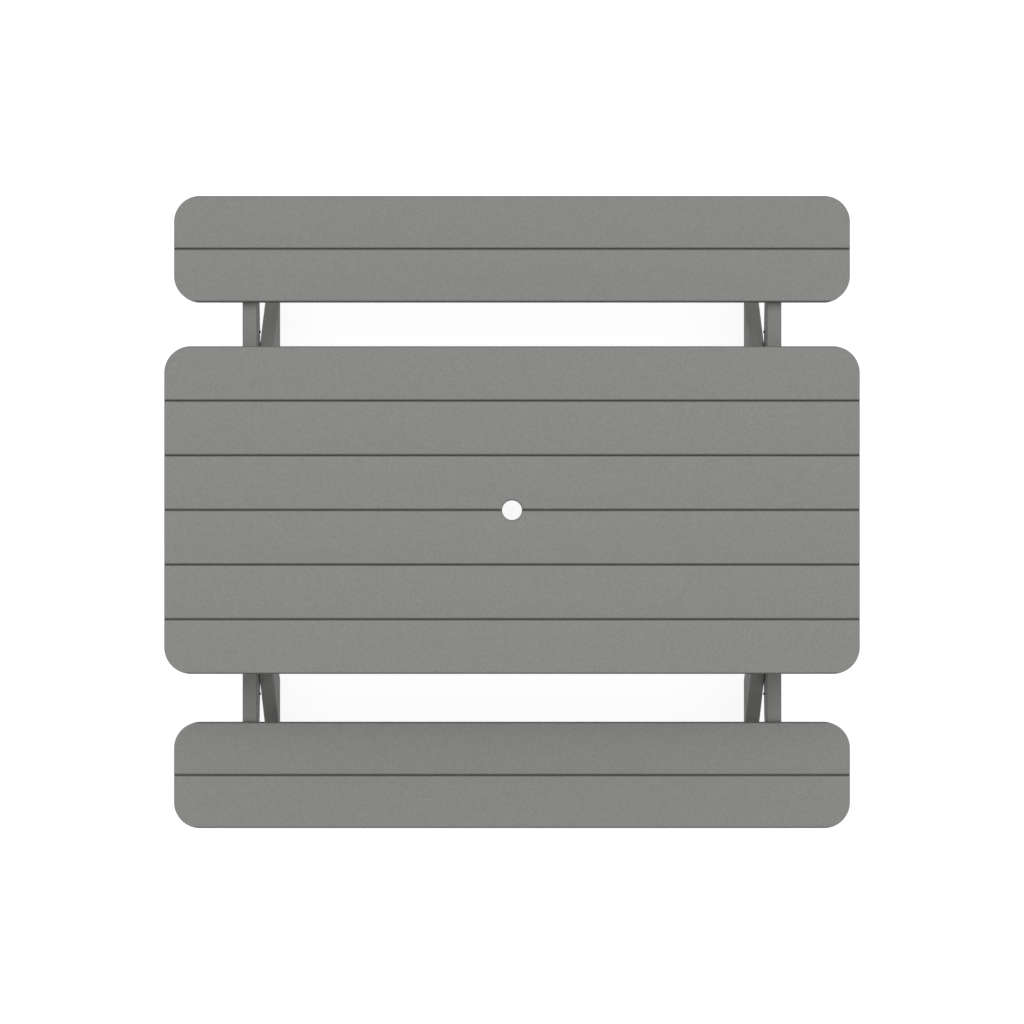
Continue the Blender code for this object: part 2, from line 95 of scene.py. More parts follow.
@dataclass
class NodeBench:
    """A small helper that adds and links nodes in one tree."""

    tree: bpy.types.NodeTree
    seed_stride: float = 3.7

    def join(self, source: bpy.types.NodeSocket, target: bpy.types.NodeSocket) -> None:
        """Link two sockets."""
        self.tree.links.new(source, target)

    def feed(self, socket: bpy.types.NodeSocket, value: object) -> None:
        """Link the value if it is a socket, or else set it as the socket's constant.

        Args:
            socket: The input to feed.
            value: A socket or a constant.
        """
        if isinstance(value, bpy.types.NodeSocket):
            self.join(value, socket)
        else:
            socket.default_value = value

    def math(self, operation: str, *values: object, clamp: bool = False) -> bpy.types.NodeSocket:
        """Add a Math node.

        Args:
            operation: What it works out.
            values: Its inputs, each a socket or a number.
            clamp: Whether the result is kept between 0 and 1.

        Returns:
            The result.
        """
        node = self.tree.nodes.new("ShaderNodeMath")
        node.operation = operation
        node.use_clamp = clamp
        for socket, value in zip(node.inputs, values):
            self.feed(socket, value)
        return node.outputs[0]

    def noise(self, vector: bpy.types.NodeSocket, scale: object, detail: float = 2.0,
              roughness: float = 0.5) -> bpy.types.NodeSocket:
        """Add a Noise texture.

        Args:
            vector: Where it is read.
            scale: How fine it is, as a socket or a number.
            detail: How many finer layers it has.
            roughness: How strong those layers are.

        Returns:
            Its factor.
        """
        node = self.tree.nodes.new("ShaderNodeTexNoise")
        self.feed(node.inputs["Scale"], scale)
        node.inputs["Detail"].default_value = detail
        node.inputs["Roughness"].default_value = roughness
        self.join(vector, node.inputs["Vector"])
        return node.outputs[0]

    def ramp(self, value: object, span: Point, to_low: float = 0.0,
             to_high: float = 1.0) -> bpy.types.NodeSocket:
        """Map a value from one range smoothly to another, clamped.

        Args:
            value: A socket or a number.
            span: The range it comes from.
            to_low: What the range's low end becomes.
            to_high: What its high end becomes.

        Returns:
            The mapped value.
        """
        node = self.tree.nodes.new("ShaderNodeMapRange")
        node.interpolation_type = "SMOOTHSTEP"
        self.feed(node.inputs["Value"], value)
        node.inputs["From Min"].default_value = span[0]
        node.inputs["From Max"].default_value = span[1]
        node.inputs["To Min"].default_value = to_low
        node.inputs["To Max"].default_value = to_high
        return node.outputs["Result"]

    def spread(self, values: Sequence[object]) -> bpy.types.NodeSocket:
        """Combine three values into a vector.

        Args:
            values: Three sockets or numbers.

        Returns:
            The vector.
        """
        node = self.tree.nodes.new("ShaderNodeCombineXYZ")
        for socket, value in zip(node.inputs, values):
            self.feed(socket, value)
        return node.outputs[0]

    def parts(self, vector: bpy.types.NodeSocket) -> Sequence[bpy.types.NodeSocket]:
        """Separate a vector.

        Args:
            vector: The vector.

        Returns:
            Its three values.
        """
        node = self.tree.nodes.new("ShaderNodeSeparateXYZ")
        self.join(vector, node.inputs[0])
        return node.outputs

    def shifted(self, vector: bpy.types.NodeSocket, seed: bpy.types.NodeSocket) -> bpy.types.NodeSocket:
        """Move a vector by a distance that depends on the seed, the same on each axis.

        Args:
            vector: The vector.
            seed: The seed.

        Returns:
            The moved vector.
        """
        node = self.tree.nodes.new("ShaderNodeVectorMath")
        node.operation = "ADD"
        self.join(vector, node.inputs[0])
        self.join(self.math("MULTIPLY", seed, self.seed_stride), node.inputs[1])
        return node.outputs[0]

    def facing(self, normal: bpy.types.NodeSocket, axis: bpy.types.NodeSocket) -> bpy.types.NodeSocket:
        """Measure how squarely the surface faces along an axis, either way.

        Args:
            normal: The surface's normal.
            axis: The axis.

        Returns:
            The measure, from 0 to 1.
        """
        node = self.tree.nodes.new("ShaderNodeVectorMath")
        node.operation = "DOT_PRODUCT"
        self.join(normal, node.inputs[0])
        self.join(axis, node.inputs[1])
        return self.math("ABSOLUTE", node.outputs["Value"])

    def blend(self, mask: bpy.types.NodeSocket, first: bpy.types.NodeSocket,
              second: bpy.types.NodeSocket) -> bpy.types.NodeSocket:
        """Go from one value to another by a mask.

        Args:
            mask: 0 for the first value and 1 for the second.
            first: The first value.
            second: The second value.

        Returns:
            The blended value.
        """
        node = self.tree.nodes.new("ShaderNodeMix")
        node.data_type = "FLOAT"
        self.join(mask, node.inputs["Factor"])
        self.join(first, node.inputs["A"])
        self.join(second, node.inputs["B"])
        return node.outputs["Result"]

    def place(self, group: bpy.types.NodeTree, **values: object) -> bpy.types.Node:
        """Place a node group.

        Args:
            group: The group.
            values: Its inputs by name, with underscores standing for spaces.

        Returns:
            The group's node.
        """
        node = self.tree.nodes.new("ShaderNodeGroup")
        node.node_tree = group
        for label, value in values.items():
            self.feed(node.inputs[label.replace("_", " ")], value)
        return node


@dataclass(frozen=True)
class LumberSkin:
    """The stippled skin of moulded plastic lumber: pebbled and faintly mottled."""

    pebble_scale: float = 230.0
    pebble_roughness: float = 0.62
    pebble_share: float = 0.7
    grain_scale: float = 900.0
    cloud_scale: float = 24.0
    cloud_roughness: float = 0.55
    swing: float = 4.0

    def build(self) -> bpy.types.NodeTree:
        """Build the node group.

        Returns:
            The group, which gives the skin's shade, height and wear.
        """
        group = new_group(
            "lumber_skin",
            [("Coordinates", "Vector", 0.0), ("Seed", "Float", 0.0), ("Speckle", "Float", 0.02),
             ("Mottle", "Float", 0.01)],
            [("Shade", "Float"), ("Height", "Float"), ("Wear", "Float")],
        )
        bench = NodeBench(group)
        given = group.nodes["In"].outputs
        result = group.nodes["Out"].inputs
        where = bench.shifted(given["Coordinates"], given["Seed"])
        pebble = bench.noise(where, self.pebble_scale, 2.0, self.pebble_roughness)
        grain = bench.noise(where, self.grain_scale, 1.0)
        cloud = bench.noise(where, self.cloud_scale, 3.0, self.cloud_roughness)
        fleck = bench.math("MULTIPLY", bench.math("SUBTRACT", pebble, 0.5), given["Speckle"])
        drift = bench.math("MULTIPLY", bench.math("SUBTRACT", cloud, 0.5), given["Mottle"])
        flecked = bench.math("ADD", 1.0, bench.math("MULTIPLY", fleck, self.swing))
        shade = bench.math("ADD", flecked, bench.math("MULTIPLY", drift, self.swing))
        height = bench.math("ADD", bench.math("MULTIPLY", pebble, self.pebble_share),
                            bench.math("MULTIPLY", grain, 1.0 - self.pebble_share))
        bench.join(shade, result["Shade"])
        bench.join(height, result["Height"])
        bench.join(cloud, result["Wear"])
        return group


@dataclass(frozen=True)
class SawnEnd:
    """The sawn end of a stick: saw lines and the fine pores of its foamed core."""

    end_facing: Point = (0.45, 0.85)
    pore_rim: Point = (0.10, 0.26)
    patch_scale: float = 90.0
    patch_rim: Point = (0.46, 0.60)
    line_scale: float = 520.0
    line_stretch: float = 0.15
    line_depth: float = 0.6
    face_shade: float = 0.97
    pore_painted_shade: float = 0.42

    def build(self) -> bpy.types.NodeTree:
        """Build the node group.

        Returns:
            The group, which gives the sawn faces' mask, shade and height.
        """
        group = new_group(
            "sawn_end",
            [("Coordinates", "Vector", 0.0), ("Normal", "Vector", 0.0), ("Cut Axis", "Vector", 0.0),
             ("Pore Scale", "Float", 620.0)],
            [("Mask", "Float"), ("Shade", "Float"), ("Height", "Float")],
        )
        bench = NodeBench(group)
        given = group.nodes["In"].outputs
        result = group.nodes["Out"].inputs
        mask = bench.ramp(bench.facing(given["Normal"], given["Cut Axis"]), self.end_facing)

        pores = group.nodes.new("ShaderNodeTexVoronoi")
        bench.join(given["Pore Scale"], pores.inputs["Scale"])
        bench.join(given["Coordinates"], pores.inputs["Vector"])
        open_pore = bench.ramp(pores.outputs["Distance"], self.pore_rim, 1.0, 0.0)
        patch = bench.ramp(bench.noise(given["Coordinates"], self.patch_scale), self.patch_rim)
        pitted = bench.math("MULTIPLY", open_pore, patch)
        x, y, z = bench.parts(given["Coordinates"])
        stretched = [bench.math("MULTIPLY", value, self.line_stretch) for value in (x, y)]
        lines = bench.noise(bench.spread([*stretched, z]), self.line_scale, 1.0)
        # The pores are darkened with painted shade, where their pits lie in shade.
        shade = bench.math("SUBTRACT", self.face_shade,
                           bench.math("MULTIPLY", pitted, self.pore_painted_shade))
        height = bench.math("SUBTRACT", bench.math("MULTIPLY", lines, self.line_depth), pitted)
        bench.join(mask, result["Mask"])
        bench.join(shade, result["Shade"])
        bench.join(height, result["Height"])
        return group


@dataclass(frozen=True)
class CoatPeel:
    """The faint orange peel and handling marks of a black coating on steel."""

    rub_scale: float = 60.0
    rub_roughness: float = 0.6
    rub_rim: Point = (0.35, 0.7)

    def build(self) -> bpy.types.NodeTree:
        """Build the node group.

        Returns:
            The group, which gives the coating's height and where it is rubbed.
        """
        group = new_group(
            "coat_peel",
            [("Coordinates", "Vector", 0.0), ("Peel Scale", "Float", 700.0)],
            [("Height", "Float"), ("Rub", "Float")],
        )
        bench = NodeBench(group)
        given = group.nodes["In"].outputs
        result = group.nodes["Out"].inputs
        rub = bench.noise(given["Coordinates"], self.rub_scale, 3.0, self.rub_roughness)
        bench.join(bench.noise(given["Coordinates"], given["Peel Scale"], 1.0), result["Height"])
        bench.join(bench.ramp(rub, self.rub_rim), result["Rub"])
        return group


@dataclass(frozen=True)
class FlankPaintedShade:
    """Painted shade on a stick's flanks, deepest where they stand upright: it darkens the joints between
    boards and the beams' inner faces, where shade falls.
    """

    upright: Point = (0.15, 0.95)

    def build(self) -> bpy.types.NodeTree:
        """Build the node group.

        Returns:
            The group, which gives the flanks' painted shade.
        """
        group = new_group(
            "painted_flank_shade",
            [("Normal", "Vector", 0.0), ("Flank Axis", "Vector", 0.0), ("Strength", "Float", 0.3)],
            [("Shade", "Float")],
        )
        bench = NodeBench(group)
        given = group.nodes["In"].outputs
        upright = bench.ramp(bench.facing(given["Normal"], given["Flank Axis"]), self.upright)
        painted_shade = bench.math("MULTIPLY", upright, given["Strength"])
        bench.join(bench.math("SUBTRACT", 1.0, painted_shade), group.nodes["Out"].inputs["Shade"])
        return group


SKIN = LumberSkin().build()
SAWN = SawnEnd().build()
COAT = CoatPeel().build()
FLANK_SHADE = FlankPaintedShade().build()


def new_material(name: str) -> Tuple[bpy.types.Material, NodeBench, bpy.types.Node]:
    """Make an empty material.

    Args:
        name: Its name.

    Returns:
        The material, its node bench and its Principled shader.
    """
    material = bpy.data.materials.new(name)
    material.use_nodes = True
    tree = material.node_tree
    return material, NodeBench(tree), tree.nodes["Principled BSDF"]


# ------------------------------------------------------------------ finishes

class Slot(Enum):
    """The record's material slots."""

    BOARDS = "board_lumber"
    FRAME = "frame_lumber"
    STEEL = "black_steel"


@dataclass(frozen=True)
class LumberStock:
    """One kind of mid-grey plastic lumber: a stippled, matt skin, rounded edges and sawn ends."""

    name: str
    slot: Slot
    colour: Triple
    edge_radius: float
    # painted shade on the flanks, where the board joints and the beams' inner faces lie in shade
    painted_shade: float
    speckle: float = 0.120
    mottle: float = 0.020
    roughness: float = 0.62
    wear_span: Point = (0.3, 0.7)
    wear_swing: float = 0.04
    sawn_roughness: float = 0.16
    sheen: float = 0.4
    stipple: float = 0.00022

    def material(self, piece: str, seed: int, cut_axis: Triple,
                 flank_axis: Triple) -> bpy.types.Material:
        """Make the finish for one stick.

        Args:
            piece: The stick's name.
            seed: Moves the pattern, so that no two sticks look alike.
            cut_axis: The direction that its sawn ends face.
            flank_axis: The direction that its flanks face, darkened with painted shade, or zero if they
                get none.

        Returns:
            The material.
        """
        material, bench, shader = new_material(f"{self.name}_{piece}")
        spots = bench.tree.nodes.new("ShaderNodeTexCoord").outputs
        where = spots["Object"]
        skin = bench.place(SKIN, Coordinates=where, Seed=float(seed), Speckle=self.speckle,
                           Mottle=self.mottle)
        sawn = bench.place(SAWN, Coordinates=where, Normal=spots["Normal"], Cut_Axis=cut_axis)
        # Painted shade darkens the upright flanks, standing in for the shade in the joints.
        joint = bench.place(FLANK_SHADE, Normal=spots["Normal"], Flank_Axis=flank_axis,
                            Strength=self.painted_shade)
        mask = sawn.outputs["Mask"]
        clean = bench.blend(mask, skin.outputs["Shade"], sawn.outputs["Shade"])
        shade = bench.math("MULTIPLY", joint.outputs["Shade"], clean)
        height = bench.blend(mask, skin.outputs["Height"], sawn.outputs["Height"])

        tint = bench.tree.nodes.new("ShaderNodeMix")
        tint.data_type = "RGBA"
        tint.blend_type = "MULTIPLY"
        tint.inputs["Factor"].default_value = 1.0
        tint.inputs["A"].default_value = (*self.colour, 1.0)
        bench.join(shade, tint.inputs["B"])
        bench.join(tint.outputs["Result"], shader.inputs["Base Color"])

        worn = bench.ramp(skin.outputs["Wear"], self.wear_span, self.roughness - self.wear_swing,
                          self.roughness + self.wear_swing)
        extra = bench.math("MULTIPLY", mask, self.sawn_roughness)
        bench.join(bench.math("ADD", worn, extra, clamp=True), shader.inputs["Roughness"])
        shader.inputs["Specular IOR Level"].default_value = self.sheen

        bump = bench.tree.nodes.new("ShaderNodeBump")
        bump.inputs["Strength"].default_value = 1.0
        bump.inputs["Distance"].default_value = self.stipple
        bench.join(height, bump.inputs["Height"])
        bench.join(bump.outputs["Normal"], shader.inputs["Normal"])
        return material


@dataclass(frozen=True)
class SteelFinish:
    """Steel under a thin black coating."""

    name: str
    colour: Triple
    metallic: float
    roughness: float
    peel_scale: float
    peel: float
    gloss: float = 0.5
    rubbed_colour: float = 1.9
    rubbed_polish: float = 0.10

    def material(self) -> bpy.types.Material:
        """Make the finish, once for all the pieces that share it.

        Returns:
            The material.
        """
        material, bench, shader = new_material(self.name)
        where = bench.tree.nodes.new("ShaderNodeTexCoord").outputs["Object"]
        coat = bench.place(COAT, Coordinates=where, Peel_Scale=self.peel_scale)
        rub = coat.outputs["Rub"]
        shader.inputs["Metallic"].default_value = self.metallic
        shader.inputs["Specular IOR Level"].default_value = self.gloss
        tint = bench.tree.nodes.new("ShaderNodeMix")
        tint.data_type = "RGBA"
        tint.inputs["A"].default_value = (*self.colour, 1.0)
        tint.inputs["B"].default_value = (*(c * self.rubbed_colour for c in self.colour), 1.0)
        bench.join(rub, tint.inputs["Factor"])
        bench.join(tint.outputs["Result"], shader.inputs["Base Color"])
        polished = bench.ramp(rub, (0.0, 1.0), self.roughness, self.roughness - self.rubbed_polish)
        bench.join(polished, shader.inputs["Roughness"])
        bump = bench.tree.nodes.new("ShaderNodeBump")
        bump.inputs["Distance"].default_value = self.peel
        bench.join(coat.outputs["Height"], bump.inputs["Height"])
        bench.join(bump.outputs["Normal"], shader.inputs["Normal"])
        return material


# The last number of each lumber is its painted shade on the flanks: the board joints and the beams' inner
# faces.
BOARD_STOCK = LumberStock("board_lumber", Slot.BOARDS, (0.226, 0.226, 0.2185), 0.25 * INCH, 0.50)
FRAME_STOCK = LumberStock("frame_lumber", Slot.FRAME, (0.222, 0.223, 0.214), 0.125 * INCH, 0.20)
BLACK_ZINC = SteelFinish("black_zinc", (0.024, 0.024, 0.025), 0.55, 0.42, 900.0, 0.00003)
POWDER_COAT = SteelFinish("powder_coat", (0.012, 0.012, 0.0125), 0.0, 0.48, 650.0, 0.00006)
BLACK_OXIDE = SteelFinish("black_oxide", (0.0025, 0.0025, 0.0026), 0.0, 0.60, 900.0, 0.00002, 0.10)


# ------------------------------------------------------------------ mesh making

def put_object(name: str, mesh: bpy.types.Mesh, matrix: Matrix) -> bpy.types.Object:
    """Link a mesh to the scene as an object.

    Args:
        name: The object's name.
        mesh: Its mesh.
        matrix: Where it stands.

    Returns:
        The object.
    """
    obj = bpy.data.objects.new(name, mesh)
    obj.matrix_world = matrix
    bpy.context.scene.collection.objects.link(obj)
    return obj


def settled_mesh(obj: bpy.types.Object) -> bpy.types.Mesh:
    """Apply an object's modifiers and remove the object.

    Args:
        obj: The object.

    Returns:
        Its finished mesh.
    """
    bpy.context.view_layer.update()
    graph = bpy.context.evaluated_depsgraph_get()
    mesh = bpy.data.meshes.new_from_object(obj.evaluated_get(graph))
    bpy.data.objects.remove(obj, do_unlink=True)
    return mesh


def mesh_of(bm: bmesh.types.BMesh, name: str) -> bpy.types.Mesh:
    """Turn a BMesh into a mesh with outward faces.

    Args:
        bm: The BMesh, which is freed.
        name: The mesh's name.

    Returns:
        The mesh.
    """
    bmesh.ops.recalc_face_normals(bm, faces=bm.faces)
    mesh = bpy.data.meshes.new(name)
    bm.to_mesh(mesh)
    bm.free()
    return mesh


def smooth(mesh: bpy.types.Mesh, degrees: float = CREASE) -> bpy.types.Mesh:
    """Shade a mesh smooth, keeping its sharper edges crisp.

    Args:
        mesh: The mesh.
        degrees: The angle above which an edge is crisp.

    Returns:
        The same mesh.
    """
    mesh.shade_smooth()
    mesh.set_sharp_from_angle(angle=math.radians(degrees))
    return mesh


def plate(outline: Sequence[Point], thickness: float) -> bpy.types.Mesh:
    """Make a plate from a flat outline, half of its thickness to each side.

    Args:
        outline: The outline's points, in order.
        thickness: The plate's thickness.

    Returns:
        The mesh.
    """
    bm = bmesh.new()
    base = bm.faces.new([bm.verts.new((x, y, -thickness / 2)) for x, y in outline])
    grown = bmesh.ops.extrude_face_region(bm, geom=[base])
    raised = [item for item in grown["geom"] if isinstance(item, bmesh.types.BMVert)]
    bmesh.ops.translate(bm, vec=(0.0, 0.0, thickness), verts=raised)
    return mesh_of(bm, "plate")


def eased(mesh: bpy.types.Mesh, radius: float, segments: int = 2) -> bpy.types.Mesh:
    """Round over a mesh's sharp edges, keeping its flat faces shaded flat.

    Args:
        mesh: The mesh.
        radius: How far the rounding reaches.
        segments: How many steps it has.

    Returns:
        A new mesh.
    """
    obj = put_object("eased", mesh, Matrix.Identity(4))
    smooth(mesh)
    bevel = obj.modifiers.new("Ease", "BEVEL")
    bevel.width = radius
    bevel.segments = segments
    bevel.limit_method = "ANGLE"
    bevel.angle_limit = math.radians(BEVEL_FROM)
    bevel.use_clamp_overlap = False
    bevel.harden_normals = True
    return settled_mesh(obj)


def turned(profile: Sequence[Point], sides: int, ring: bool = False) -> bpy.types.Mesh:
    """Spin a profile about Z.

    Args:
        profile: Its points, as (radius, height).
        sides: How many steps the turn has.
        ring: Whether the profile's ends join into a closed section.

    Returns:
        The mesh.
    """
    bm = bmesh.new()
    verts = [bm.verts.new((radius, 0.0, height)) for radius, height in profile]
    pairs = list(zip(verts, verts[1:]))
    if ring:
        pairs.append((verts[-1], verts[0]))
    edges = [bm.edges.new(pair) for pair in pairs]
    bmesh.ops.spin(bm, geom=verts + edges, cent=(0, 0, 0), axis=(0, 0, 1), angle=2 * math.pi,
                   steps=sides, use_merge=True)
    bmesh.ops.remove_doubles(bm, verts=bm.verts, dist=SAME_POINT)
    return smooth(mesh_of(bm, "turned"))


def cylinder(radius: float, depth: float, sides: int, matrix: Matrix) -> bpy.types.Mesh:
    """Make a plain cylinder or prism.

    Args:
        radius: Its radius, to its corners.
        depth: Its length.
        sides: How many sides it has.
        matrix: Where it stands.

    Returns:
        The mesh.
    """
    bm = bmesh.new()
    bmesh.ops.create_cone(bm, cap_ends=True, segments=sides, radius1=radius, radius2=radius,
                          depth=depth, matrix=matrix)
    return mesh_of(bm, "cylinder")


def combined(first: bpy.types.Mesh, second: bpy.types.Mesh, operation: str) -> bpy.types.Mesh:
    """Cut, join or intersect two meshes.

    Args:
        first: The mesh to change.
        second: The mesh that changes it.
        operation: The Boolean operation.

    Returns:
        A new mesh.
    """
    objects = [put_object("piece", mesh, Matrix.Identity(4)) for mesh in (first, second)]
    change = objects[0].modifiers.new("Change", "BOOLEAN")
    change.operation = operation
    change.solver = "EXACT"
    change.object = objects[1]
    mesh = settled_mesh(objects[0])
    bpy.data.objects.remove(objects[1], do_unlink=True)
    return smooth(mesh)


def gathered(copies: Iterable[Tuple[bpy.types.Mesh, Matrix]], name: str) -> bpy.types.Mesh:
    """Gather separate copies of meshes into one mesh.

    Args:
        copies: Each mesh and where its copy goes.
        name: The new mesh's name.

    Returns:
        The mesh.
    """
    bm = bmesh.new()
    for mesh, matrix in copies:
        copy = mesh.copy()
        copy.transform(matrix)
        bm.from_mesh(copy)
        bpy.data.meshes.remove(copy)
    result = bpy.data.meshes.new(name)
    bm.to_mesh(result)
    bm.free()
    return smooth(result)


def arc(centre: Point, radius: float, start: float, end: float, steps: int) -> List[Point]:
    """Return points along an arc.

    Args:
        centre: The arc's centre.
        radius: Its radius.
        start: The angle where it starts, in radians.
        end: The angle where it ends.
        steps: How many steps it has.

    Returns:
        The points, both ends included.
    """
    points = []
    for i in range(steps + 1):
        angle = start + (end - start) * i / steps
        points.append((centre[0] + radius * math.cos(angle), centre[1] + radius * math.sin(angle)))
    return points


def rectangle(half_x: float, half_y: float) -> List[Point]:
    """Return a rectangle about the origin."""
    return [(-half_x, -half_y), (half_x, -half_y), (half_x, half_y), (-half_x, half_y)]


def finish_piece(obj: bpy.types.Object, material: bpy.types.Material, slot: Slot,
                 *nodes: str) -> bpy.types.Object:
    """Dress a piece, fix it to the table's body and hide the frame nodes that it stands for.

    Args:
        obj: The piece.
        material: Its finish.
        slot: Its material slot in the record; not used.
        nodes: The frame nodes that it replaces.

    Returns:
        The same piece.
    """
    obj.data.materials.clear()
    obj.data.materials.append(material)
    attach(obj, BODY)
    if nodes:
        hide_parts(*nodes)
    log.info("%s: %d faces", obj.name, len(obj.data.polygons))
    return obj


# ------------------------------------------------------------------ lumber

class Plane(Enum):
    """The plane that a stick's outline lies in, as its two directions and its normal."""

    FLAT = ((1, 0, 0), (0, 1, 0), (0, 0, 1))
    ACROSS = ((0, 1, 0), (0, 0, 1), (1, 0, 0))
    ALONG = ((1, 0, 0), (0, 0, 1), (0, -1, 0))

    def axes(self) -> Tuple[Vector, Vector, Vector]:
        """Return the two directions and the normal as vectors."""
        return tuple(Vector(axis) for axis in self.value)


def frame_matrix(*axes: Vector) -> Matrix:
    """Return the rotation whose columns are the given axes."""
    return Matrix(axes).transposed().to_4x4()


@dataclass
class Stick:
    """A length of lumber, rounded along its four long edges and sawn to an outline.

    The outline is in the plane's own two directions, about the middle of the stick, and may
    reach past the stick's sides: only what lies inside both is left.
    """

    node: str
    plane: Plane
    outline: Sequence[Point]
    width: float
    grain: Point
    cut_axis: Triple
    stock: LumberStock
    flank_axis: Triple = (0.0, 0.0, 0.0)
    offset: float = 0.0
    edge_steps: int = 7
    crisp_edge: float = 0.0004
    spare: float = 0.02

    def profile(self, thickness: float) -> List[Point]:
        """Return the lumber's cross section, its corners rounded.

        Args:
            thickness: The lumber's thickness.

        Returns:
            The points, anticlockwise.
        """
        radius = self.stock.edge_radius
        half_x = self.width / 2 - radius
        half_y = thickness / 2 - radius
        points: List[Point] = []
        for i, (sx, sy) in enumerate(((1, 1), (-1, 1), (-1, -1), (1, -1))):
            start = i * math.pi / 2
            centre = (sx * half_x, sy * half_y)
            points += arc(centre, radius, start, start + math.pi / 2, self.edge_steps)
        return points

    def build(self, seed: int, cutter: Optional[bpy.types.Mesh] = None) -> bpy.types.Object:
        """Make the stick, dress it and put it in place of its frame node.

        Args:
            seed: Moves the pattern of its skin.
            cutter: A mesh to cut away, about the middle of the stick.

        Returns:
            The piece.
        """
        low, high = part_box(self.node)
        first, second, normal = self.plane.axes()
        thickness = abs((high - low).dot(normal))
        along = first * self.grain[0] + second * self.grain[1]
        across = second * self.grain[0] - first * self.grain[1]
        blank = plate(self.profile(thickness), (high - low).length + 2 * self.spare)
        blank.transform(Matrix.Translation(across * self.offset) @ frame_matrix(across, normal, along))
        window = plate(self.outline, thickness + self.spare)
        window.transform(frame_matrix(first, second, normal))
        mesh = combined(blank, window, "INTERSECT")
        if cutter is not None:
            mesh = combined(mesh, cutter, "DIFFERENCE")
        mesh = eased(mesh, self.crisp_edge)
        middle = Matrix.Translation((low + high) / 2)
        obj = put_object(f"{self.node}_lumber", mesh, middle)
        material = self.stock.material(self.node, seed, self.cut_axis, self.flank_axis)
        return finish_piece(obj, material, self.stock.slot, self.node)


@dataclass
class Deck:
    """A deck of boards laid side by side, such as the top or a bench."""

    boards: Sequence[str]
    corner_radius: float = 2.7 * INCH
    corner_steps: int = 24
    hole_radius: float = 0.0
    hole_flare: float = 0.0035
    hole_sides: int = 72
    flare_steps: int = 6
    pitch: float = 5.5 * INCH
    joint: float = 0.00002
    spare: float = 0.01

    def outline(self, half_x: float, half_y: float, rounded: int) -> List[Point]:
        """Return a board's outline about its middle.

        Args:
            half_x: Half of its length.
            half_y: Half of its width.
            rounded: The side, -1 or +1, whose two corners are rounded, or 0.

        Returns:
            The points, anticlockwise.
        """
        points: List[Point] = []
        radius = self.corner_radius
        beyond = half_y + self.spare
        for sx, sy, start in ((1, -1, -0.5), (1, 1, 0.0), (-1, 1, 0.5), (-1, -1, 1.0)):
            if sy == rounded:
                centre = (sx * (half_x - radius), sy * (half_y - radius))
                bend = arc(centre, radius, start * math.pi, (start + 0.5) * math.pi,
                           self.corner_steps)
                past = (centre[0], sy * beyond)
                points += [past] + bend if sx == -sy else bend + [past]
            else:
                points.append((sx * half_x, sy * beyond))
        return points

    def flared_hole(self, thickness: float, offset: float) -> bpy.types.Mesh:
        """Make the cutter of the umbrella hole, its mouth rounded over on top.

        Args:
            thickness: The board's thickness.
            offset: How far the hole's middle lies from the board's, along Y.

        Returns:
            The cutter.
        """
        flare = self.hole_flare
        top = thickness / 2
        mouth = arc((self.hole_radius + flare, top - flare), flare, math.pi, math.pi / 2,
                    self.flare_steps)
        outline = [(0.0, -top - flare), (self.hole_radius, -top - flare)]
        outline += mouth + [(self.hole_radius + flare, top + flare), (0.0, top + flare)]
        mesh = turned(outline, self.hole_sides)
        mesh.transform(Matrix.Translation((0.0, offset, 0.0)))
        return mesh

    def build(self, first_seed: int) -> None:
        """Make every board of the deck, from the lowest Y to the highest.

        Args:
            first_seed: The first board's seed; the others count up from it.
        """
        count = len(self.boards)
        for index, node in enumerate(self.boards):
            low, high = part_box(node)
            half = (high - low) / 2
            rounded = (1 if index == count - 1 else 0) - (1 if index == 0 else 0)
            outline = self.outline(half.x, half.y, rounded)
            cutter = None
            side = {count // 2 - 1: 1, count // 2: -1}.get(index, 0)
            if self.hole_radius and side:
                cutter = self.flared_hole(2 * half.z, side * self.pitch / 2)
            # Boards close up to their neighbours, so that no light comes through the joints.
            reach = (self.pitch - self.joint) / 2 - half.y
            width = 2 * half.y + (reach if rounded else 2 * reach)
            stick = Stick(node, Plane.FLAT, outline, width, (1.0, 0.0), (1.0, 0.0, 0.0),
                          BOARD_STOCK, (0.0, 1.0, 0.0), -rounded * reach / 2)
            stick.build(first_seed + index, cutter)


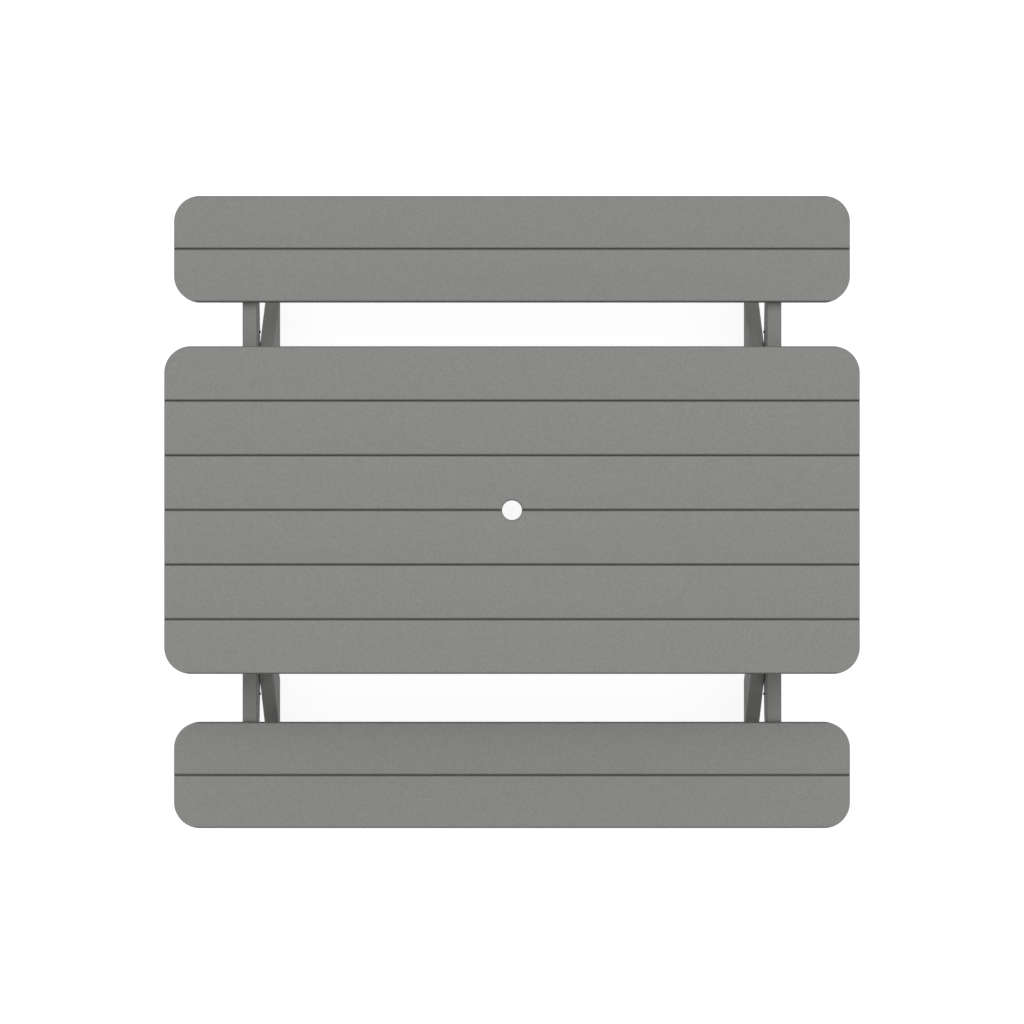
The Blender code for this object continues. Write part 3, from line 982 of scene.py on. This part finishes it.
@dataclass
class EndFrame:
    """One end of the table: two splayed legs, a seat beam and the cleat that joins the legs."""

    end: str
    leg_angle: float = math.radians(61.0)
    leg_width: float = 5.5 * INCH
    taper_start: float = 18.2 * INCH
    taper_slope: float = 0.25
    spare: float = 0.02

    def leg(self, side: str, sign: int, seed: int) -> None:
        """Stand one leg, its foot and its top cut level.

        Args:
            side: The leg's side of the table.
            sign: That side's sign along Y.
            seed: Moves the pattern of its skin.
        """
        node = f"leg_{self.end}_{side}"
        low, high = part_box(node)
        outline = rectangle((high.y - low.y) / 2 + self.spare, (high.z - low.z) / 2)
        grain = (-sign * math.cos(self.leg_angle), math.sin(self.leg_angle))
        stick = Stick(node, Plane.ACROSS, outline, self.leg_width, grain, (0.0, 0.0, 1.0),
                      FRAME_STOCK)
        stick.build(seed)

    def beam(self, seed: int) -> None:
        """Hang the seat beam, its underside rising towards both tips.

        Args:
            seed: Moves the pattern of its skin.
        """
        node = f"seat_beam_{self.end}"
        low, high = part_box(node)
        half_y = (high.y - low.y) / 2
        half_z = (high.z - low.z) / 2
        tip = (half_y - self.taper_start) * self.taper_slope - half_z
        # The taper's cut runs on past the underside, so that it leaves no seam along it.
        run_on = self.taper_start - self.spare / self.taper_slope
        outline = [
            (-run_on, -half_z - self.spare), (run_on, -half_z - self.spare), (half_y, tip),
            (half_y, half_z + self.spare), (-half_y, half_z + self.spare), (-half_y, tip),
        ]
        stick = Stick(node, Plane.ACROSS, outline, 2 * half_z, (1.0, 0.0), (0.0, 1.0, 0.0),
                      FRAME_STOCK, (1.0, 0.0, 0.0))
        stick.build(seed)

    def build(self, first_seed: int) -> None:
        """Make the whole end.

        Args:
            first_seed: The first piece's seed; the others count up from it.
        """
        for index, (side, sign) in enumerate(SIDES):
            self.leg(side, sign, first_seed + index)
        self.beam(first_seed + 2)
        clipped_cleat(f"top_cleat_end_{self.end}", first_seed + 3)


def clipped_cleat(node: str, seed: int, clip: float = 1.0 * INCH, spare: float = 0.01) -> None:
    """Fix a cleat on edge under the top, its two lower corners clipped.

    Args:
        node: Its frame node.
        seed: Moves the pattern of its skin.
        clip: How much of each corner is cut off, both ways.
        spare: How far the saw cuts run past the wood.
    """
    low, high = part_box(node)
    half_y = (high.y - low.y) / 2
    half_z = (high.z - low.z) / 2
    inner = half_y - clip - spare
    outline = [
        (-inner, -half_z - spare), (inner, -half_z - spare), (half_y, clip - half_z),
        (half_y, half_z + spare), (-half_y, half_z + spare), (-half_y, clip - half_z),
    ]
    stick = Stick(node, Plane.ACROSS, outline, 2 * half_z, (1.0, 0.0), (0.0, 1.0, 0.0), FRAME_STOCK)
    stick.build(seed)


@dataclass
class Underframe:
    """What lies under the boards between the ends: middle cleats, bench cleats and braces."""

    brace_width: float = 3.5 * INCH
    slope_passes: int = 20
    spare: float = 0.02

    def bench_cleat(self, node: str, seed: int) -> None:
        """Lay a bench cleat across the bench, flat side up.

        Args:
            node: Its frame node.
            seed: Moves the pattern of its skin.
        """
        low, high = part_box(node)
        half = (high - low) / 2
        outline = rectangle(half.x + self.spare, half.y)
        stick = Stick(node, Plane.FLAT, outline, 2 * half.x, (0.0, 1.0), (0.0, 1.0, 0.0),
                      FRAME_STOCK)
        stick.build(seed)

    def brace(self, end: str, sign: int, seed: int) -> None:
        """Run a brace from its seat beam up to the middle cleat, both ends cut upright.

        Args:
            end: The brace's end of the table.
            sign: That end's sign along X.
            seed: Moves the pattern of its skin.
        """
        node = f"brace_{end}"
        low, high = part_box(node)
        half_x = (high.x - low.x) / 2
        half_z = (high.z - low.z) / 2
        # The upright cut's height depends on the slope, and the slope on the cut.
        cut = self.brace_width
        for _ in range(self.slope_passes):
            slope = (2 * half_z - cut) / (2 * half_x)
            cut = self.brace_width * math.hypot(1.0, slope)
        length = math.hypot(1.0, slope)
        grain = (1.0 / length, -sign * slope / length)
        outline = rectangle(half_x, half_z + self.spare)
        stick = Stick(node, Plane.ALONG, outline, self.brace_width, grain, (1.0, 0.0, 0.0),
                      FRAME_STOCK)
        stick.build(seed)

    def build(self, first_seed: int) -> None:
        """Make every piece.

        Args:
            first_seed: The first piece's seed; the others count up from it.
        """
        seed = first_seed
        for end, sign in ENDS:
            clipped_cleat(f"top_cleat_middle_{end}", seed)
            self.brace(end, sign, seed + 1)
            seed += 2
        for place in ("left", "middle", "right"):
            for side, _ in SIDES:
                self.bench_cleat(f"bench_cleat_{place}_{side}", seed)
                seed += 1


# ------------------------------------------------------------------ hardware

@dataclass
class Thread:
    """A helical thread on the end of a bolt."""

    radius: float
    depth: float = 0.0006
    pitch: float = 0.0015
    sides: int = 32
    rows: int = 6
    chamfer: float = 0.0012
    crease: float = 50.0

    def radius_at(self, share: float, height: float, from_end: float) -> float:
        """Return the thread's radius at one spot.

        Args:
            share: How far round the bolt the spot is, from 0 to 1.
            height: Its height.
            from_end: Its distance from the bolt's end.

        Returns:
            The radius.
        """
        phase = (height / self.pitch + share) % 1.0
        groove = self.depth * (1 - abs(2 * phase - 1))
        return self.radius - max(groove, 0.0, self.chamfer - from_end)

    def mesh(self, top: float, bottom: float) -> bpy.types.Mesh:
        """Make the threaded stretch, chamfered at its end.

        Args:
            top: The height where it starts.
            bottom: The height where it ends.

        Returns:
            The mesh.
        """
        bm = bmesh.new()
        count = math.ceil((top - bottom) / self.pitch * self.rows)
        rings = []
        for i in range(count + 1):
            height = top + (bottom - top) * i / count
            ring = []
            for k in range(self.sides):
                share = k / self.sides
                radius = self.radius_at(share, height, height - bottom)
                angle = 2 * math.pi * share
                ring.append(bm.verts.new((radius * math.cos(angle), radius * math.sin(angle), height)))
            rings.append(ring)
        for upper, lower in zip(rings, rings[1:]):
            for k in range(self.sides):
                after = (k + 1) % self.sides
                bm.faces.new((upper[k], upper[after], lower[after], lower[k]))
        bm.faces.new(rings[0])
        bm.faces.new(rings[-1])
        return smooth(mesh_of(bm, "thread"), self.crease)


@dataclass
class BoltSet:
    """A domed bolt with its washer and nut, seated at height 0, its shank downwards.

    The rim is the edge of the head's flange, as (in from its radius, height).  The dome's radius
    is a share of the head's; nut_face and nut_rim are shares of the nut's flats and corners.
    """

    grip: float
    shank: float = 0.0047
    head_radius: float = 0.0105
    head_height: float = 0.0048
    dome_share: float = 0.80
    dome_base: float = 0.0015
    dome_steps: int = 9
    rim: Sequence[Point] = ((0.0005, 0.0013), (0.0, 0.0010), (0.0, 0.0004), (0.0004, 0.0))
    nut_radius: float = 0.0083
    nut_height: float = 0.0080
    nut_turning: float = 0.0011
    nut_face: float = 0.97
    nut_rim: float = 1.01
    nut_spare: float = 0.002
    bore_gap: float = 0.0001
    bore_ease: float = 0.0008
    washer_radius: float = 0.0120
    washer_thickness: float = 0.0020
    washer_ease: float = 0.0004
    washer_gap: float = 0.0006
    bolt_end: float = 0.003
    thread_overlap: float = 0.0002
    gap: float = 0.0003
    sides: int = 40

    def grip_for(self, length: float) -> float:
        """Return the grip of a set that is this long from its head to its tip."""
        tail = self.gap + self.washer_thickness + self.nut_height + self.bolt_end
        return length - self.head_height - tail - self.gap

    def head(self) -> bpy.types.Mesh:
        """Make the flanged, domed head and the plain part of the shank.

        Returns:
            The mesh.
        """
        base = self.dome_base
        dome_radius = self.head_radius * self.dome_share
        dome = [(0.0, self.head_height)]
        for i in range(1, self.dome_steps + 1):
            angle = math.pi / 2 * i / self.dome_steps
            rise = (self.head_height - base) * math.cos(angle)
            dome.append((dome_radius * math.sin(angle), base + rise))
        flange = [(self.head_radius - inset, height) for inset, height in self.rim]
        neck = [(self.shank, 0.0), (self.shank, -self.grip), (0.0, -self.grip)]
        return turned(dome + flange + neck, self.sides)

    def washer(self) -> bpy.types.Mesh:
        """Make the washer, its outer edges eased.

        Returns:
            The mesh.
        """
        top = -self.grip - self.gap
        bottom = top - self.washer_thickness
        ease = self.washer_ease
        inner = self.shank + self.washer_gap
        outer = self.washer_radius
        section = [
            (inner, top), (outer - ease, top), (outer, top - ease),
            (outer, bottom + ease), (outer - ease, bottom), (inner, bottom),
        ]
        return turned(section, self.sides, ring=True)

    def nut(self) -> bpy.types.Mesh:
        """Make the six-sided nut, its corners turned off at both faces.

        Returns:
            The mesh.
        """
        top = -self.grip - self.gap - self.washer_thickness
        bottom = top - self.nut_height
        face = self.nut_radius * math.cos(math.pi / 6) * self.nut_face
        outer = self.nut_radius * self.nut_rim
        drop = self.nut_turning
        bore = self.shank + self.bore_gap
        ease = self.bore_ease
        section = [
            (bore + ease, top), (face, top), (outer, top - drop), (outer, bottom + drop),
            (face, bottom), (bore + ease, bottom), (bore, bottom + ease), (bore, top - ease),
        ]
        blank = turned(section, self.sides, ring=True)
        prism = cylinder(self.nut_radius, self.nut_height + self.nut_spare, 6,
                         Matrix.Translation((0.0, 0.0, (top + bottom) / 2)))
        return combined(blank, prism, "INTERSECT")

    def mesh(self) -> bpy.types.Mesh:
        """Make the whole set.

        Returns:
            One mesh of four separate solids.
        """
        end = -self.grip - self.gap - self.washer_thickness - self.nut_height - self.bolt_end
        thread = Thread(self.shank).mesh(-self.grip + self.thread_overlap, end)
        still = Matrix.Identity(4)
        pieces = (self.head(), thread, self.washer(), self.nut())
        return gathered([(piece, still) for piece in pieces], "bolt_set")


@dataclass
class StarScrew:
    """A pan-headed screw with a six-lobed recess, seated at height 0, its shank downwards.

    The lobes' reach and swing and the crown are shares of the head's radius, and the star's
    thickness and middle are shares of its height.
    """

    shank: float
    head_radius: float
    head_height: float
    length: float
    crown: float = 0.45
    crown_steps: int = 6
    lobes: int = 6
    lobe_reach: float = 0.36
    lobe_swing: float = 0.055
    lobe_points: int = 48
    star_thickness: float = 1.1
    star_middle: float = 0.95
    sides: int = 36

    def star(self) -> bpy.types.Mesh:
        """Make the cutter of the recess.

        Returns:
            The cutter.
        """
        outline = []
        for i in range(self.lobe_points):
            angle = 2 * math.pi * i / self.lobe_points
            swing = self.lobe_swing * math.cos(self.lobes * angle)
            reach = self.head_radius * (self.lobe_reach + swing)
            outline.append((reach * math.cos(angle), reach * math.sin(angle)))
        star = plate(outline, self.head_height * self.star_thickness)
        star.transform(Matrix.Translation((0.0, 0.0, self.head_height * self.star_middle)))
        return star

    def mesh(self) -> bpy.types.Mesh:
        """Make the screw and sink its recess.

        Returns:
            The mesh.
        """
        radius = self.head_radius
        height = self.head_height
        bend = radius * self.crown
        crown = [(0.0, height)]
        crown += arc((radius - bend, height - bend), bend, math.pi / 2, 0.0, self.crown_steps)
        rest = [
            (radius, 0.0), (self.shank, 0.0), (self.shank, 2 * self.shank - self.length),
            (0.0, -self.length),
        ]
        return combined(turned(crown + rest, self.sides), self.star(), "DIFFERENCE")


BOARD_SCREW = StarScrew(shank=0.0030, head_radius=0.0068, head_height=0.0040, length=0.020)


@dataclass
class Saddle:
    """A bent steel saddle that holds a brace's end: its back on X = 0, its ears towards -X."""

    thickness: float = 0.003
    bend: float = 0.005
    corner: float = 0.007
    outer_steps: int = 8
    inner_steps: int = 6
    bolt_hole: float = 0.0052
    bolt_from_back: float = 0.032
    hole_sides: int = 32
    edge: float = 0.0005
    spare: float = 0.002

    def section(self, ear: float, half_width: float) -> List[Point]:
        """Return the bent strip, seen from above.

        Args:
            ear: How far its ears reach from its back.
            half_width: Half of its width over the ears.

        Returns:
            The points, in order.
        """
        outer = half_width
        inner = half_width - self.thickness
        radius = self.bend
        tight = self.bend - self.thickness
        left = (-radius, radius - outer)
        right = (-radius, outer - radius)
        outline = [(-ear, -outer)]
        outline += arc(left, radius, -math.pi / 2, 0.0, self.outer_steps)
        outline += arc(right, radius, 0.0, math.pi / 2, self.outer_steps)
        outline += [(-ear, outer), (-ear, inner)]
        outline += arc(right, tight, math.pi / 2, 0.0, self.inner_steps)
        outline += arc(left, tight, 0.0, -math.pi / 2, self.inner_steps)
        return outline + [(-ear, -inner)]

    def side(self, ear: float, half: float) -> List[Point]:
        """Return the ears' outline, seen from the side, with its two free corners rounded.

        Args:
            ear: How far the ears reach from the back.
            half: Half of their height.

        Returns:
            The points, in order.
        """
        past = half + self.spare / 2
        middle = self.corner - ear
        outline = [(self.spare, -past), (self.spare, past)]
        outline += arc((middle, half - self.corner), self.corner, math.pi / 2, math.pi,
                       self.outer_steps)
        outline += arc((middle, self.corner - half), self.corner, math.pi, 1.5 * math.pi,
                       self.outer_steps)
        return outline[::-1]

    def mesh(self, ear: float, half_width: float, height: float) -> bpy.types.Mesh:
        """Make the saddle.

        Args:
            ear: How far its ears reach from its back.
            half_width: Half of its width over the ears.
            height: Its height.

        Returns:
            The mesh, about the middle of its height.
        """
        bent = plate(self.section(ear, half_width), height)
        window = plate(self.side(ear, height / 2), 2 * half_width + 2 * self.spare)
        window.transform(frame_matrix(*Plane.ALONG.axes()))
        shaped = combined(bent, window, "INTERSECT")
        spot = Matrix.Translation((-self.bolt_from_back, 0.0, 0.0)) @ Matrix.Rotation(math.pi / 2, 4, "X")
        drill = cylinder(self.bolt_hole, 4 * half_width, self.hole_sides, spot)
        return eased(combined(shaped, drill, "DIFFERENCE"), self.edge)


def seated(seat: Vector, direction: Triple) -> Matrix:
    """Return the matrix that seats a fastener at a point, its shank along a direction."""
    turn = Vector(direction).to_track_quat("-Z", "Y")
    return Matrix.Translation(seat) @ turn.to_matrix().to_4x4()


@dataclass
class Hardware:
    """Every bolt, screw and saddle, placed by the frame's boxes."""

    top_boards: Sequence[str]
    screw_spread: float = 1.2 * INCH
    screw_skew: float = 0.022
    face_shank: float = 0.0019
    face_head: float = 0.0038
    face_crown: float = 0.15

    def bolts(self, zinc: bpy.types.Material) -> None:
        """Set the bolts that run along X through each end frame, their heads outside.

        Args:
            zinc: Their finish.
        """
        pattern = BoltSet(0.0)
        kinds = ("beam_bolt_outer", "beam_bolt_inner", "top_bolt_outer", "top_bolt_inner", "bench_bolt")
        shared: Dict[float, bpy.types.Mesh] = {}
        for kind in kinds:
            for end, sign in ENDS:
                for side, _ in SIDES:
                    node = f"{kind}_{end}_{side}"
                    low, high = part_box(node)
                    grip = round(pattern.grip_for(high.x - low.x), 4)
                    mesh = shared.setdefault(grip, BoltSet(grip).mesh())
                    seat = (low + high) / 2
                    seat.x = (high.x if sign > 0 else low.x) - sign * pattern.head_height
                    obj = put_object(f"{node}_set", mesh, seated(seat, (-sign, 0.0, 0.0)))
                    finish_piece(obj, zinc, Slot.STEEL, node)

    def saddle(self, node: str, facing: int, coat: bpy.types.Material) -> None:
        """Fix one saddle, its back against the beam or cleat.

        Args:
            node: Its frame node.
            facing: The sign along X of the side that its back is on.
            coat: Its finish.
        """
        low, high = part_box(node)
        mesh = Saddle().mesh(high.x - low.x, (high.y - low.y) / 2, high.z - low.z)
        back = (low + high) / 2
        back.x = high.x if facing > 0 else low.x
        turn = Matrix.Rotation(0.0 if facing > 0 else math.pi, 4, "Z")
        obj = put_object(f"{node}_steel", mesh, Matrix.Translation(back) @ turn)
        finish_piece(obj, coat, Slot.STEEL, node)

    def brace_bolt(self, node: str, zinc: bpy.types.Material) -> None:
        """Run a bolt through a saddle and its brace, head to the back.

        Args:
            node: Its frame node.
            zinc: Its finish.
        """
        low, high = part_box(node)
        bolt = BoltSet(BoltSet(0.0).grip_for(high.y - low.y))
        seat = (low + high) / 2
        seat.y = high.y - bolt.head_height
        obj = put_object(f"{node}_set", bolt.mesh(), seated(seat, (0.0, -1.0, 0.0)))
        finish_piece(obj, zinc, Slot.STEEL, node)

    def beam_screws(self, oxide: bpy.types.Material) -> None:
        """Drive the small screws into the seat beams' inner faces.

        Args:
            oxide: Their finish.
        """
        shape = None
        for end, sign in ENDS:
            for side, _ in SIDES:
                node = f"beam_screw_{end}_{side}"
                low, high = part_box(node)
                head = self.face_head
                if shape is None:
                    shape = StarScrew(self.face_shank, (high.z - low.z) / 2, head,
                                      high.x - low.x - head, self.face_crown).mesh()
                seat = (low + high) / 2
                seat.x = (low.x + head) if sign > 0 else (high.x - head)
                obj = put_object(f"{node}_steel", shape, seated(seat, (sign, 0.0, 0.0)))
                finish_piece(obj, oxide, Slot.STEEL, node)

    def screw_rows(self) -> List[Tuple[str, Sequence[str], Sequence[Point]]]:
        """List the rows of screws under the boards.

        Returns:
            Each row's cleat, its boards, and where its screws go about each board's middle.
        """
        spread = self.screw_spread
        pair = ((0.0, -spread), (0.0, spread))
        skewed = ((-self.screw_skew, -spread), (self.screw_skew, spread))
        rows: List[Tuple[str, Sequence[str], Sequence[Point]]] = []
        for end, _ in ENDS:
            rows.append((f"top_cleat_end_{end}", self.top_boards, pair))
            rows.append((f"top_cleat_middle_{end}", self.top_boards, ((0.0, 0.0),)))
        for side, _ in SIDES:
            boards = [f"bench_board_{side}_inner", f"bench_board_{side}_outer"]
            for place in ("left", "right"):
                rows.append((f"bench_cleat_{place}_{side}", boards, pair))
            rows.append((f"bench_cleat_middle_{side}", boards, skewed))
        return rows

    def board_screws(self, zinc: bpy.types.Material) -> None:
        """Drive the screws that hold the boards, up through each cleat from below.

        Args:
            zinc: Their finish.
        """
        shape = BOARD_SCREW.mesh()
        for cleat, boards, offsets in self.screw_rows():
            low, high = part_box(cleat)
            middle = (low + high) / 2
            copies = []
            for board in boards:
                board_low, board_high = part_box(board)
                y = (board_low.y + board_high.y) / 2
                for dx, dy in offsets:
                    seat = Vector((dx, y + dy - middle.y, 0.0))
                    copies.append((shape, seated(seat, (0.0, 0.0, 1.0))))
            mesh = gathered(copies, f"{cleat}_screws")
            place = Matrix.Translation((middle.x, middle.y, low.z))
            finish_piece(put_object(f"{cleat}_screws", mesh, place), zinc, Slot.STEEL)

    def build(self) -> None:
        """Make all the hardware."""
        zinc = BLACK_ZINC.material()
        coat = POWDER_COAT.material()
        self.bolts(zinc)
        for end, sign in ENDS:
            for level, facing in (("lower", sign), ("upper", -sign)):
                self.saddle(f"brace_saddle_{end}_{level}", facing, coat)
                self.brace_bolt(f"brace_bolt_{end}_{level}", zinc)
        self.beam_screws(BLACK_OXIDE.material())
        self.board_screws(zinc)


# ------------------------------------------------------------------ studio

@dataclass
class Studio:
    """A plain pale floor, soft light from above that leans to the back, and a camera overhead."""

    floor_radius: float = 40.0
    floor_sides: int = 96
    floor_drop: float = 0.0005
    floor_glow: float = 0.88
    floor_colour: float = 0.30
    sky: float = 0.36
    sky_lean: float = 0.75
    backdrop: float = 1.0
    key: float = 2.00
    key_tilt: Point = (7.0, 5.0)
    key_softness: float = 60.0
    key_distance: float = 6.0
    camera_y: float = -7.04 * INCH
    camera_height: float = 442.7 * INCH
    camera_range: Point = (0.1, 100.0)
    sensor: float = 36.0
    lens: float = 144.36
    shift: float = 0.0664

    def floor(self) -> None:
        """Lay a round white floor that glows a little, so that shade on it stays pale."""
        bm = bmesh.new()
        bmesh.ops.create_circle(bm, cap_ends=True, segments=self.floor_sides,
                                radius=self.floor_radius)
        obj = put_object("studio_floor", mesh_of(bm, "studio_floor"),
                         Matrix.Translation((0.0, 0.0, -self.floor_drop)))
        material, bench, shader = new_material("studio_floor")
        shader.inputs["Base Color"].default_value = (self.floor_colour,) * 3 + (1.0,)
        shader.inputs["Roughness"].default_value = 1.0
        shader.inputs["Specular IOR Level"].default_value = 0.0
        shader.inputs["Emission Color"].default_value = (1.0, 1.0, 1.0, 1.0)
        # The glow doesn't light the table: diffuse rays see the floor without it.
        bounced = bench.tree.nodes.new("ShaderNodeLightPath").outputs["Is Diffuse Ray"]
        seen = bench.math("MULTIPLY", bench.math("SUBTRACT", 1.0, bounced), self.floor_glow)
        bench.join(seen, shader.inputs["Emission Strength"])
        obj.data.materials.append(material)

    def sky_light(self) -> None:
        """Surround the table with even light, and show the camera a white backdrop."""
        world = bpy.data.worlds.new("studio")
        bpy.context.scene.world = world
        world.use_nodes = True
        tree = world.node_tree
        tree.nodes.clear()
        bench = NodeBench(tree)
        output = tree.nodes.new("ShaderNodeOutputWorld")
        mix = tree.nodes.new("ShaderNodeMixShader")
        bench.join(tree.nodes.new("ShaderNodeLightPath").outputs["Is Camera Ray"], mix.inputs[0])
        towards = bench.parts(tree.nodes.new("ShaderNodeTexCoord").outputs["Generated"])
        leaning = bench.math("ADD", 1.0, bench.math("MULTIPLY", towards[1], self.sky_lean))
        sky = bench.math("MULTIPLY", leaning, self.sky)
        for socket, strength in ((mix.inputs[1], sky), (mix.inputs[2], self.backdrop)):
            glow = tree.nodes.new("ShaderNodeBackground")
            glow.inputs["Color"].default_value = (1.0, 1.0, 1.0, 1.0)
            bench.feed(glow.inputs["Strength"], strength)
            bench.join(glow.outputs[0], socket)
        bench.join(mix.outputs[0], output.inputs[0])

    def key_light(self) -> None:
        """Add one very soft key light, tilted to come from the back."""
        lamp = bpy.data.lights.new("key", "SUN")
        lamp.energy = self.key
        lamp.angle = math.radians(self.key_softness)
        obj = bpy.data.objects.new("key", lamp)
        tilt_y, tilt_x = self.key_tilt
        towards = Vector((math.tan(math.radians(tilt_x)), math.tan(math.radians(tilt_y)), 1.0))
        obj.rotation_euler = towards.to_track_quat("Z", "Y").to_euler()
        obj.location = towards * self.key_distance
        bpy.context.scene.collection.objects.link(obj)

    def camera(self) -> None:
        """Look straight down from high above, a little to the front of the middle."""
        data = bpy.data.cameras.new("camera")
        data.lens = self.lens
        data.sensor_width = self.sensor
        data.shift_y = self.shift
        data.clip_start, data.clip_end = self.camera_range
        obj = bpy.data.objects.new("camera", data)
        obj.location = (0.0, self.camera_y, self.camera_height)
        bpy.context.scene.collection.objects.link(obj)
        bpy.context.scene.camera = obj

    def build(self) -> None:
        """Set up the studio."""
        scene = bpy.context.scene
        scene.view_settings.view_transform = "Standard"
        scene.view_settings.look = "None"
        self.floor()
        self.sky_light()
        self.key_light()
        self.camera()


# ------------------------------------------------------------------ build


def main() -> None:
    """Build the table and its studio, in order."""
    logging.basicConfig(level=logging.INFO, format="%(name)s: %(message)s")
    Studio().build()
    top_boards = [f"top_board_{i}" for i in range(1, 7)]
    Deck(top_boards, hole_radius=1.0 * INCH).build(1)
    Deck(["bench_board_front_outer", "bench_board_front_inner"]).build(11)
    Deck(["bench_board_back_inner", "bench_board_back_outer"]).build(21)
    for index, (end, _) in enumerate(ENDS):
        EndFrame(end).build(31 + 10 * index)
    Underframe().build(51)
    Hardware(top_boards).build()


if __name__ == "__main__":
    main()
